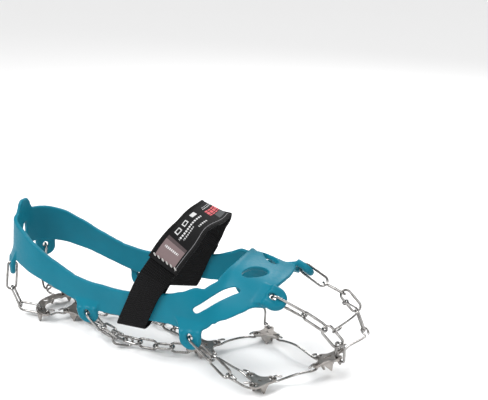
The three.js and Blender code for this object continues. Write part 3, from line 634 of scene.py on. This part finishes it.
def stamped(outline, holes):
    """A flat plate with rounded edges from a 2-D outline and round holes, in its own frame."""
    curve = bpy.data.curves.new("stamped", "CURVE")
    curve.dimensions = "2D"
    curve.fill_mode = "BOTH"
    edge = 0.28
    curve.extrude = PLATE_T / 2 - edge
    curve.bevel_depth = edge
    curve.bevel_resolution = 2
    curve.offset = -edge
    rings = [outline] + [arc(x, y, r, 0, 2 * math.pi * 31 / 32, 32)[::-1] for x, y, r in holes]
    for ring in rings:
        spline = curve.splines.new("POLY")
        spline.points.add(len(ring) - 1)
        for p, (x, y) in zip(spline.points, ring):
            p.co = (x, y, 0, 1)
        spline.use_cyclic_u = True
    obj = bpy.data.objects.new("stamped", curve)
    bpy.context.scene.collection.objects.link(obj)
    bpy.context.view_layer.update()
    mesh = bpy.data.meshes.new_from_object(obj.evaluated_get(
        bpy.context.evaluated_depsgraph_get()))
    verts = np.array([v.co[:] for v in mesh.vertices])
    faces = [tuple(p.vertices) for p in mesh.polygons]
    bpy.data.objects.remove(obj)
    bpy.data.curves.remove(curve)
    bpy.data.meshes.remove(mesh)
    return verts, faces


def tooth(angle, distance, middle=(0, 0)):
    """A pointed tab bent down from the plate's edge; its inner face is at the distance."""
    mid = distance + PLATE_T / 2
    bend = 1.7
    path = [(mid - bend - 1.6, 0.0, TOOTH_WIDTH / 2)]
    for a in np.linspace(0, math.pi / 2, 7):
        path.append((mid - bend + bend * math.sin(a), -bend + bend * math.cos(a), TOOTH_WIDTH / 2))
    tip = PLATE_T / 2 - TOOTH_LENGTH
    for s in np.linspace(0.12, 1, 8):
        path.append((mid, -bend + (tip + bend) * s, TOOTH_WIDTH / 2 * (1 - s) + 0.5 * s))
    out = np.array([math.cos(angle), math.sin(angle), 0])
    across = np.array([-math.sin(angle), math.cos(angle), 0])
    base = np.array([middle[0], middle[1], 0.0])
    rings = []
    for i, (d, z, half) in enumerate(path):
        before, after = path[max(0, i - 1)], path[min(len(path) - 1, i + 1)]
        run = unit(np.array([after[0] - before[0], after[1] - before[1]]))
        normal = np.array([-run[1], run[0]])
        t = PLATE_T / 2 * (0.8 if i == len(path) - 1 else 1)
        edge = min(0.3, half * 0.4)
        section = [(-half, t - edge), (-half + edge, t), (half - edge, t), (half, t - edge),
                   (half, -t + edge), (half - edge, -t), (-half + edge, -t), (-half, -t + edge)]
        rings.append([base + out * (d + normal[0] * w) + np.array([0, 0, 1]) * (z + normal[1] * w)
                      + across * h for h, w in section])
    return loft(rings)


def place_plate(name, flat, origin, forward, up):
    far = np.array([0, 1.0, 0])
    verts, faces = joined(flat)
    verts = origin + verts[:, :1] * forward + verts[:, 1:2] * far + verts[:, 2:] * up
    obj = new_object(name + "_stamping", verts, faces, PLATE)
    split = obj.modifiers.new("split", "EDGE_SPLIT")
    split.split_angle = math.radians(32)
    finish_piece(obj, name, "plate_steel", name)


def eared_plate(name):
    at, holes, bore, waist = PLATES[name]
    angles = sorted((math.atan2(h[1], h[0]), i) for i, h in enumerate(holes))
    outline, sides = [], []
    for k, (angle, i) in enumerate(angles):
        x, y = holes[i]
        outline += arc(x, y, EAR_R, angle - EAR_SPAN, angle + EAR_SPAN, 16)
        following, n = angles[(k + 1) % len(angles)]
        if following < angle:
            following += 2 * math.pi
        mid = (angle + following) / 2
        sides.append(mid)
        nx, ny = holes[n]
        lean = (math.hypot(x, y) + math.hypot(nx, ny)) / 2 * math.cos((following - angle) / 2)
        pull = max(2 * waist - lean, 2.5)
        end = following - EAR_SPAN
        a = np.array(outline[-1])
        b = np.array([pull * math.cos(mid), pull * math.sin(mid)])
        c = np.array([nx + EAR_R * math.cos(end), ny + EAR_R * math.sin(end)])
        for t in np.linspace(0, 1, 14)[1:-1]:
            outline.append(tuple(a * (1 - t) ** 2 + 2 * b * t * (1 - t) + c * t * t))
    flat = [stamped(outline, [(x, y, HOLE_R) for x, y in holes] + [(0, 0, bore)])]
    flat += [tooth(a, waist - 0.9) for a in sides]
    place_plate(name, flat, *plate_frame(at))


CRESCENT = {"middle": (44.6, 0), "radius": 23.1, "half": 3.7, "open": 71, "inner": 48}


def crescent_point(degrees, extra=0.0):
    a = math.radians(180 + degrees)
    r = CRESCENT["radius"] + extra
    return CRESCENT["middle"][0] + r * math.cos(a), r * math.sin(a)


def crescent_plate():
    wide, half = CRESCENT["open"], CRESCENT["half"]

    def cap(degrees, sign):
        points = []
        for t in np.linspace(15, 165, 11):
            a = math.radians(t)
            x, y = crescent_point(degrees, half * math.cos(a))
            along = math.radians(180 + degrees + 90 * sign)
            reach = 4.2 * math.sin(a)
            points.append((x + reach * math.cos(along), y + reach * math.sin(along)))
        return points
    outline = [crescent_point(d, half) for d in np.linspace(-wide, wide, 49)]
    outline += cap(wide, 1)
    outline += [crescent_point(d, -half - 2.6 * math.exp(-((d / 10) ** 2)))
                for d in np.linspace(wide, -wide, 61)]
    outline += cap(-wide, -1)[::-1]
    holes = [(*crescent_point(d), HOLE_R) for d in (-wide, -CRESCENT["inner"],
                                                     CRESCENT["inner"], wide)]
    holes.append((*crescent_point(0), 2.6))
    flat = [stamped(outline, holes)]
    flat += [tooth(math.radians(180 + d), CRESCENT["radius"] + half - 1, CRESCENT["middle"])
             for d in (-60, -24, 24, 60)]
    place_plate("plate_heel_rear", flat, np.array([0, 0, -PLATE_T / 2]), np.array([1.0, 0, 0]),
                np.array([0, 0, 1.0]))


# ---- wires ----
def cad_points(name):
    o = nodes[name]
    return np.array([(o.matrix_world @ v.co)[:] for v in o.data.vertices]) * 1000 + ORIGIN


def smooth_link(name):
    """A round oval link with a welded seam, where the CAD link lies."""
    pts = cad_points(name)
    centre = pts.mean(0)
    _, axes = np.linalg.eigh(np.cov((pts - centre).T))
    long_axis, wide = axes[:, 2], axes[:, 1]
    reach = (pts - centre) @ long_axis
    middle = centre + long_axis * (reach.max() + reach.min()) / 2
    half = (reach.max() - reach.min()) / 2 - 0.95
    r = LINK_HALF_WIDTH
    straight = half - r
    arcs = np.linspace(-math.pi / 2, math.pi / 2, 19)
    loop = [(straight + r * math.cos(a), r * math.sin(a)) for a in arcs]
    loop += [(x, r) for x in np.linspace(straight, -straight, 13)[1:-1]]
    loop += [(-straight - r * math.cos(a), -r * math.sin(a)) for a in arcs]
    loop += [(x, -r) for x in np.linspace(-straight, straight, 13)[1:-1]]
    points = [middle + long_axis * x + wide * y for x, y in loop]
    radii = [WIRE_R * (1.0 + (0.16 * math.exp(-(x / 0.9) ** 2) if y > r - 0.1 else 0))
             for x, y in loop]
    obj = new_object(name + "_wire", *tube(points, WIRE_R, 14, loop=True, radii=radii), WIRE)
    finish_piece(obj, name, "wire_steel", name)


def smooth_rod(name):
    """The CAD rod itself, rounded and brought back to its wire's size."""
    o = nodes[name]
    o.data.materials.clear()
    o.data.materials.append(WIRE)
    weld = o.modifiers.new("weld", "WELD")
    weld.merge_threshold = 0.00002
    sub = o.modifiers.new("round", "SUBSURF")
    sub.levels = 2
    sub.render_levels = 2
    grow = o.modifiers.new("grow", "DISPLACE")
    grow.strength = 0.00012
    grow.mid_level = 0


# ---- strap ----
STRAP_LINE = [(135, 45, 14), (146, 45.5, 38), (153, 45, 54), (160, 43.5, 68), (166.5, 42, 80),
              (172.5, 37, 91), (178, 28, 99.5), (181.5, 15, 104), (183, 0, 105), (181.5, -15, 104)]
ON_BOOT = 0.5 + WEB_T / 2
OVER_BAND = BAND_T + 0.5 + WEB_T / 2
UNDER_BAND = -1.3 - WEB_T / 2
HEM, PATCH_END = 0.42, 0.96    # where the patch begins and ends along the strap's line
FOLD_SKEW = 0.6


def strap_point(t, sign, offset):
    line = catmull([(p[0], sign * p[1], p[2]) for p in STRAP_LINE])

    def middle(u):
        return on_boot(line(min(max(u, 0), 1)))
    p = middle(t)
    along = unit(middle(t + 0.02) - middle(t - 0.02))
    up = boot_normal(p)
    skew = FOLD_SKEW * min(1, max(0, (0.36 - t) / 0.22))
    wide = unit(np.cross(up, along)) + along * sign * skew
    return p + up * offset, up, wide


def strap_run(t0, t1, sign, offset, step=0.01):
    n = max(2, round(abs(t1 - t0) / step))
    return [strap_point(t0 + (t1 - t0) * i / n, sign, offset(i / n)) for i in range(n + 1)]


def evened(run, rounds):
    """The same run with its facing and width directions averaged along it."""
    for _ in range(rounds):
        kept = [run[0]]
        for a, b, c in zip(run, run[1:], run[2:]):
            kept.append((b[0], unit(a[1] + 2 * b[1] + c[1]), (a[2] + 2 * b[2] + c[2]) / 4))
        run = kept + [run[-1]]
    return run


def ribbon(run, width, thickness, section, lift=0.0):
    """section is [(across -1..1, up -1..1)]; returns vertices, faces and (u, v mm) per vertex."""
    rings, uvs, length = [], [], 0.0
    for i, (at, up, wide) in enumerate(run):
        if i:
            length += float(np.linalg.norm(at - run[i - 1][0]))
        rings.append([at + wide * a * width / 2 + up * (lift + b * thickness / 2)
                      for a, b in section])
        uvs += [((a + 1) / 2, length) for a, b in section]
    verts, faces = loft(rings)
    return verts, faces, uvs


def flat_section(edge):
    """A webbing section: flat faces and rounded edges."""
    side = [(1 - edge + edge * math.cos(a), math.sin(a))
            for a in np.linspace(-math.pi / 2, math.pi / 2, 7)]
    top = [(x, 1.0) for x in np.linspace(1 - edge, -1 + edge, 12)[1:-1]]
    other = [(-x, -y) for x, y in side]
    bottom = [(-x, -1.0) for x, _ in top]
    return side + top + other + bottom


def webbing(side, sign, end):
    low, up, wide = strap_point(0.05, sign, 0)
    ahead, _, _ = strap_point(0.07, sign, 0)
    down = -unit(ahead - low)
    turn, mid = (OVER_BAND - UNDER_BAND) / 2, (OVER_BAND + UNDER_BAND) / 2
    fold = []
    for a in np.linspace(0, math.pi, 15):
        fold.append((low + up * (mid + turn * math.cos(a)) + down * turn * math.sin(a),
                     up * math.cos(a) + down * math.sin(a), wide))
    outside = (strap_run(end, HEM, sign, lambda u: ON_BOOT)
               + strap_run(0.41, 0.32, sign, lambda u: ON_BOOT + (OVER_BAND - ON_BOOT) * u ** 2)
               + strap_run(0.30, 0.07, sign, lambda u: OVER_BAND))
    inside = (strap_run(0.07, 0.31, sign, lambda u: UNDER_BAND)
              + strap_run(0.33, HEM, sign,
                          lambda u: UNDER_BAND + (ON_BOOT - 0.5 - UNDER_BAND) * u))
    run = outside + fold[1:-1] + [(at, -up_, wide_) for at, up_, wide_ in inside]
    verts, faces, uvs = ribbon(run, WEB_WIDTH, WEB_T * 0.94, flat_section(0.06))
    obj = new_object("strap_%s_webbing" % side, verts, faces, WEBBING, uvs=uvs)
    finish_piece(obj, "harness", "webbing", "strap_" + side)


def patch():
    """The bound strap end: a print-carrying field with a raised binding and bar stitches."""
    run = evened(strap_run(HEM, PATCH_END, -1, lambda u: ON_BOOT, 0.008), 40)
    section = [(1.0, 0.0), (0.995, 0.75), (0.97, 1.15), (0.9, 1.25), (0.83, 1.15), (0.81, 0.8)]
    section += [(x, 0.78) for x in np.linspace(0.76, -0.76, 14)]
    section += [(-x, y) for x, y in section[:6]][::-1]
    section += [(-0.97, -0.9), (-0.8, -1), (0, -1), (0.8, -1), (0.97, -0.9)]
    lift = WEB_T + 0.6
    verts, faces, uvs = ribbon(run, PATCH_WIDTH, WEB_T * 0.8, section, lift)
    obj = new_object("strap_patch_bound", verts, faces, PATCH, uvs=[(1 - u, v) for u, v in uvs])
    finish_piece(obj, "strap_patch", "bound_patch", "strap_patch")
    bars = []
    at, up, wide = run[4]
    ahead = run[6][0]
    along = unit(ahead - at)
    across = unit(wide)
    for k in range(6):
        middle = at + across * PATCH_WIDTH * 0.72 * (k / 5 - 0.5) + up * (lift + 0.95)
        ends = [middle + (across * 1.35 + along * 0.7) * s for s in np.linspace(-1, 1, 9)]
        radii = [0.62 * math.sqrt(max(0.05, 1 - s * s * 0.9)) for s in np.linspace(-1, 1, 9)]
        bars.append(tube(ends, 0.6, 10, radii=radii))
    stitches = new_object("strap_patch_bar_stitches", *joined(bars), THREAD)
    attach(stitches, "strap_patch")
    runs = []
    for sign in (-1, 1):
        line = [p + unit(w) * sign * PATCH_WIDTH / 2 * 0.9 + u * (lift + 0.98) for p, u, w in run[2:-2]]
        for i in range(0, len(line) - 2, 3):
            a, b = line[i], line[i + 2]
            runs.append(tube([a + (b - a) * s for s in np.linspace(0, 0.86, 5)], 0.22, 6,
                             radii=[0.1, 0.22, 0.24, 0.22, 0.1]))
    seam = new_object("strap_patch_binding_seam", *joined(runs), WEBBING,
                      uvs=[(0.5, 0.0)] * sum(len(r[0]) for r in runs))
    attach(seam, "strap_patch")


# ---- build ----
build_harness()
for plate in PLATES:
    eared_plate(plate)
crescent_plate()
for cad_name in sorted(nodes):
    if cad_name.startswith(("ring_", "chain_")):
        smooth_link(cad_name)
    elif cad_name.startswith(("rod_", "toe_bail")):
        smooth_rod(cad_name)
webbing("near", -1, 0.82)
webbing("far", 1, 0.94)
patch()

# ---- floor, light and camera ----
floor_mesh = bpy.data.meshes.new("floor")
floor_mesh.from_pydata([(-4, -4, 0), (4, -4, 0), (4, 4, 0), (-4, 4, 0)], [], [(0, 1, 2, 3)])
floor = bpy.data.objects.new("floor", floor_mesh)
bpy.context.scene.collection.objects.link(floor)
pale, _, _, pale_bsdf = material("floor_pale")
pale_bsdf.inputs["Base Color"].default_value = (0.86, 0.86, 0.86, 1)
pale_bsdf.inputs["Roughness"].default_value = 0.9
floor_mesh.materials.append(pale)

world = bpy.data.worlds.new("studio")
bpy.context.scene.world = world
world.use_nodes = True
# A dome that is bright overhead and pale at the horizon, with a dark band the wires mirror.
sky, sky_links = world.node_tree.nodes, world.node_tree.links
heading = sky.new("ShaderNodeTexCoord")
height = sky.new("ShaderNodeSeparateXYZ")
sky_links.new(heading.outputs["Generated"], height.inputs[0])
dome = ramp(sky, sky_links, height.outputs[2],
            [(0.0, (0.62,) * 3), (0.14, (0.30,) * 3), (0.32, (0.09,) * 3), (0.55, (0.7,) * 3),
             (0.8, (1.0,) * 3)])
sky_links.new(dome.outputs["Color"], sky["Background"].inputs["Color"])
sky["Background"].inputs["Strength"].default_value = 0.62
bpy.context.scene.view_settings.view_transform = "Standard"


def add_light(light, location, direction):
    obj = bpy.data.objects.new(light.name, light)
    obj.location = location
    obj.rotation_mode = "QUATERNION"
    obj.rotation_quaternion = direction.to_track_quat("-Z", "Y")
    bpy.context.scene.collection.objects.link(obj)


def area_light(name, location, size, watts, aim=(0, 0, 0.04)):
    light = bpy.data.lights.new(name, "AREA")
    light.size = size
    light.energy = watts
    add_light(light, location, Vector(aim) - Vector(location))


sun = bpy.data.lights.new("sky_key", "SUN")
sun.energy = 1.9
sun.angle = math.radians(38)
add_light(sun, (0, 0, 0), Vector((0.45, 0.35, -1)))
area_light("key", (-0.55, -0.75, 0.95), 0.5, 7)
area_light("fill", (0.95, -0.55, 0.55), 0.7, 5)
area_light("back", (0.1, 0.9, 0.9), 0.6, 9)

TARGET = Vector((-0.0042, 0.0009, 0.049))
AZIMUTH, ELEVATION, DISTANCE = math.radians(27.3), math.radians(24.3), 0.65
camera = bpy.data.cameras.new("camera")
camera.sensor_width = 36
camera.lens = 58.28
camera.shift_x = 0.1496
camera.shift_y = 0.1766
camera.clip_start = 0.01
camera_object = bpy.data.objects.new("camera", camera)
bpy.context.scene.collection.objects.link(camera_object)
bpy.context.scene.camera = camera_object
back = Vector((math.sin(AZIMUTH) * math.cos(ELEVATION), -math.cos(AZIMUTH) * math.cos(ELEVATION),
               math.sin(ELEVATION)))
camera_object.location = TARGET + back * DISTANCE
camera_object.rotation_mode = "QUATERNION"
camera_object.rotation_quaternion = (-back).to_track_quat("-Z", "Y")
